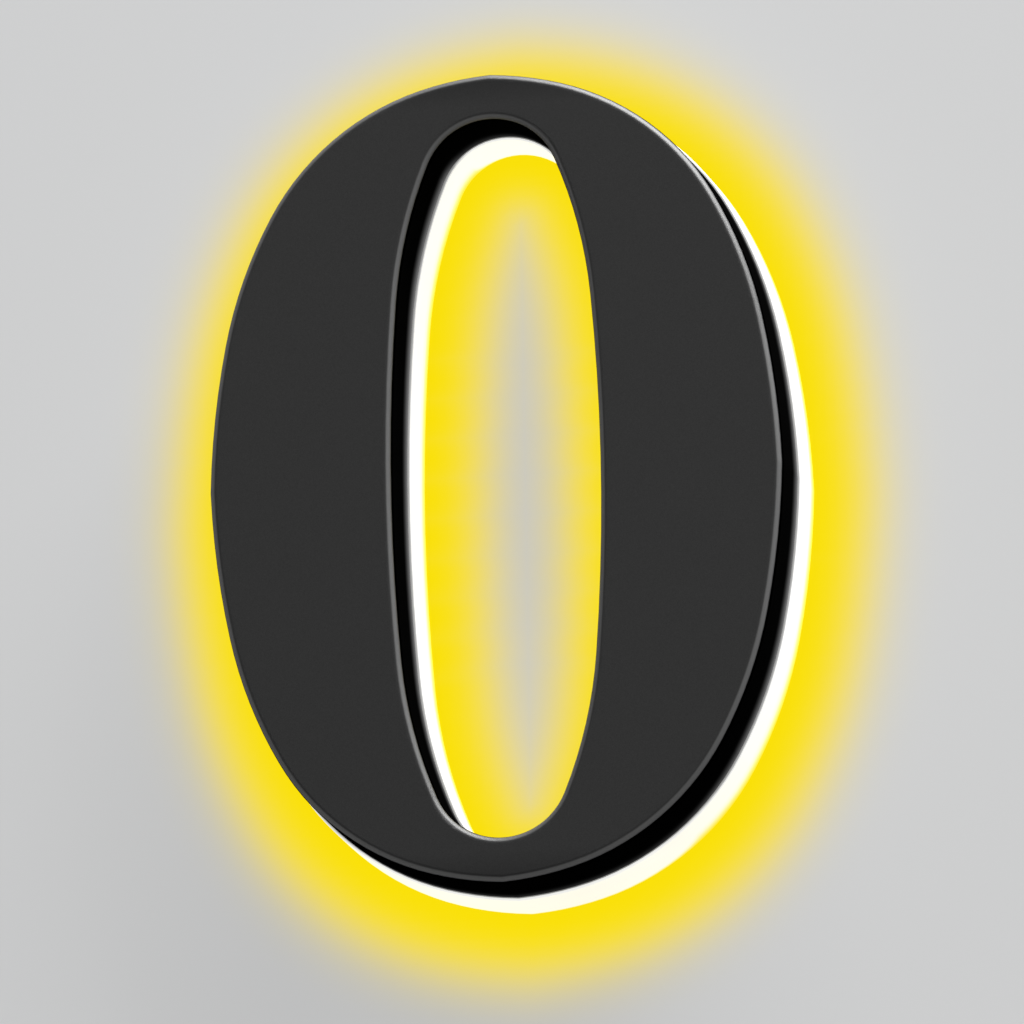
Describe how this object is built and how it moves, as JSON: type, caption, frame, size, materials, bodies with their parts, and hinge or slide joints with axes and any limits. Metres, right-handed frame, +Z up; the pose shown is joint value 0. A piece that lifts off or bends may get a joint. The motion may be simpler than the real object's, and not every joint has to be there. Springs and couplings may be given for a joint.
{
  "type": "illuminated house number sign",
  "caption": "Halo-lit house number: a dark metal numeral front over a glowing opal tray, held off the wall on threaded studs.",
  "frame": {"origin": "centre of the rectangle of wall studs, on the wall plane", "axes": "+Y into the wall, along the studs; +Z up the numeral; +X to the right as the numeral is read"},
  "size_m": [0.1426, 0.087, 0.2012],
  "materials": {
    "charcoal_coat": "satin powder coat",
    "black_coat": "matt powder coat",
    "opal_acrylic": "opal, glowing",
    "aluminium": "turned",
    "stainless_steel": "plain",
    "brass": "turned",
    "black_rubber": "matt",
    "board_white": "white solder mask over aluminium",
    "emitter": "white body with a yellow window",
    "component_black": "moulded",
    "capacitor_can": "drawn",
    "terminal_green": "moulded",
    "white_nylon": "moulded",
    "lead_red": "sleeved",
    "lead_black": "sleeved"
  },
  "bodies": {
    "root": {"front_face": "charcoal_coat", "outer_return": "black_coat", "counter_return": "black_coat", "outer_gasket": "black_rubber", "counter_gasket": "black_rubber", "opal_tray": "opal_acrylic", "face_pillars": "aluminium", "board_washers": "white_nylon", "standoffs": "aluminium", "screw_seals": "black_rubber", "tray_screws": "stainless_steel", "led_board_right": "board_white", "led_board_left": "board_white", "led_emitters": "emitter", "ballast_resistors": "component_black", "rectifier": "component_black", "input_capacitor": "capacitor_can", "terminal_block": "terminal_green", "terminal_screws": "stainless_steel", "terminal_pins": "brass", "cord_clamp": "white_nylon", "clamp_screws": "stainless_steel", "clamp_nuts": "stainless_steel", "cable_grommet": "black_rubber", "stud_inserts": "brass", "wall_studs": "stainless_steel", "lock_nuts": "stainless_steel", "spacer_sleeves": "aluminium", "wall_pads": "black_rubber", "lead_sockets": "white_nylon", "lead_negative": "lead_black", "lead_positive": "lead_red"}
  },
  "joints": []
}
